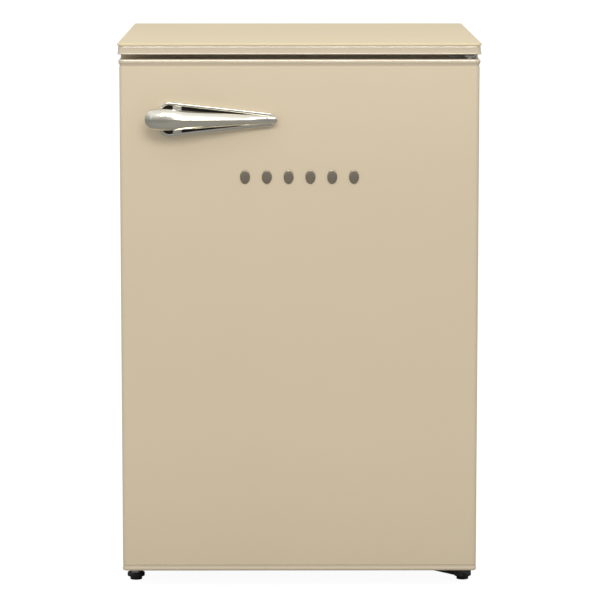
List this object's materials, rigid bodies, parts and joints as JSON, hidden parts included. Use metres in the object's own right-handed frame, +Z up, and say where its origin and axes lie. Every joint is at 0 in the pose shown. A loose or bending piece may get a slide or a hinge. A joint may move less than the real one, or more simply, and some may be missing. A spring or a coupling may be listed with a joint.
{
  "type": "mini fridge",
  "caption": "Retro under-counter mini fridge with a lever-handled hinged door, worktop, icebox, shelves, crisper and rear cooling circuit.",
  "frame": {"origin": "on the floor, under the middle of the object's box, its handle included", "axes": "+Z up, -Y the front where the door is, +X to the right seen from the front"},
  "size_m": [0.55, 0.612, 0.84],
  "materials": {
    "body_paint": "satin cream enamel",
    "worktop_paint": "satin cream laminate on board",
    "worktop_trim": "satin cream moulding",
    "cap_plastic": "satin cream moulding",
    "zinc_sheet": "zinc coated",
    "black_steel": "satin black",
    "plated_steel": "zinc plated",
    "chrome": "polished",
    "badge_metal": "satin grey metal",
    "foam": null,
    "liner_white": "gloss white",
    "seal": "matt light grey",
    "black_rubber": "matt black",
    "black_plastic": "matt black",
    "grey_plastic": "matt grey",
    "condenser_black": "satin black",
    "copper": "bare copper",
    "aluminium": "bare satin",
    "clear_glass": "clear, polished edge",
    "clear_plastic": "clear moulding",
    "bulb": "frosted"
  },
  "bodies": {
    "root": {"base_panel": "zinc_sheet", "cabinet_foam": "foam", "cabinet_liner": "liner_white", "cabinet_screws": "plated_steel", "compressor": "black_steel", "compressor_grommets": "black_rubber", "compressor_plate": "zinc_sheet", "condenser_brackets": "black_plastic", "condenser_tube": "condenser_black", "condenser_wires": "condenser_black", "cord_grommet": "black_rubber", "crisper_cover": "clear_glass", "drain_tube": "grey_plastic", "evaporation_tray": "black_plastic", "evaporator": "aluminium", "filter_drier": "copper", "front_rails": "body_paint", "hinge_pins": "plated_steel", "icebox_frame": "liner_white", "lamp_bulb": "bulb", "lamp_cover": "clear_plastic", "left_foot_plate": "black_steel", "lower_hinge_bracket": "black_steel", "rear_feet": "black_plastic", "rear_panel": "zinc_sheet", "refrigerant_pipes": "copper", "relay_cover": "black_plastic", "side_panel_left": "body_paint", "side_panel_right": "body_paint", "switch_housing": "liner_white", "thermostat_housing": "liner_white", "top_panel": "body_paint", "upper_hinge_bracket": "plated_steel", "worktop_frame": "worktop_trim", "worktop_panel": "worktop_paint"},
    "door": {"door_outer_panel": "body_paint", "door_top_cap": "cap_plastic", "door_bottom_cap": "cap_plastic", "door_foam": "foam", "door_liner": "liner_white", "door_gasket": "seal", "hinge_bushes": "liner_white", "handle_base": "chrome", "handle_bar": "chrome", "badge_studs": "badge_metal"},
    "icebox_flap": {"icebox_flap": "liner_white"},
    "crisper_drawer": {"crisper_drawer": "clear_plastic"},
    "upper_shelf": {"upper_shelf_glass": "clear_glass", "upper_shelf_trim": "liner_white"},
    "lower_shelf": {"lower_shelf_glass": "clear_glass", "lower_shelf_trim": "liner_white"},
    "bottle_balcony": {"bottle_balcony": "clear_plastic"},
    "middle_balcony": {"middle_balcony": "clear_plastic"},
    "top_balcony": {"top_balcony": "clear_plastic"},
    "thermostat_knob": {"thermostat_knob": "liner_white"},
    "light_switch": {"light_switch": "liner_white"},
    "left_foot": {"foot_pad_left": "black_plastic", "foot_stud_left": "plated_steel"},
    "right_foot": {"foot_pad_right": "black_plastic", "foot_stud_right": "plated_steel"}
  },
  "joints": [
    {"name": "door_hinge", "type": "hinge", "parent": "root", "child": "door", "pos_m": [0.257, -0.243, 0.42], "axis": [0, 0, 1], "range_deg": [0, 130]},
    {"name": "icebox_flap_hinge", "type": "hinge", "parent": "root", "child": "icebox_flap", "pos_m": [0, -0.0835, 0.7584], "axis": [-1, 0, 0], "range_deg": [0, 70]},
    {"name": "crisper_slide", "type": "slide", "parent": "root", "child": "crisper_drawer", "axis": [0, -1, 0], "range_m": [0, 0.04]},
    {"name": "upper_shelf_slide", "type": "slide", "parent": "root", "child": "upper_shelf", "axis": [0, -1, 0], "range_m": [0, 0.08]},
    {"name": "lower_shelf_slide", "type": "slide", "parent": "root", "child": "lower_shelf", "axis": [0, -1, 0], "range_m": [0, 0.04]},
    {"name": "bottle_balcony_lift", "type": "slide", "parent": "door", "child": "bottle_balcony", "axis": [0, 0, 1], "range_m": [0, 0.025]},
    {"name": "middle_balcony_lift", "type": "slide", "parent": "door", "child": "middle_balcony", "axis": [0, 0, 1], "range_m": [0, 0.025]},
    {"name": "top_balcony_lift", "type": "slide", "parent": "door", "child": "top_balcony", "axis": [0, 0, 1], "range_m": [0, 0.025]},
    {"name": "thermostat_turn", "type": "hinge", "parent": "root", "child": "thermostat_knob", "pos_m": [0.216, -0.047, 0.602], "axis": [0, -1, 0], "range_deg": [0, 300]},
    {"name": "light_switch_press", "type": "slide", "parent": "root", "child": "light_switch", "axis": [0, 1, 0], "range_m": [0, 0.003], "stiffness_N_per_m": 200, "springref_m": -0.004},
    {"name": "left_foot_turn", "type": "hinge", "parent": "root", "child": "left_foot", "pos_m": [-0.255, -0.194, 0.02], "axis": [0, 0, -1], "range_deg": [0, 2880]},
    {"name": "right_foot_turn", "type": "hinge", "parent": "root", "child": "right_foot", "pos_m": [0.255, -0.194, 0.02], "axis": [0, 0, -1], "range_deg": [0, 2880]}
  ]
}
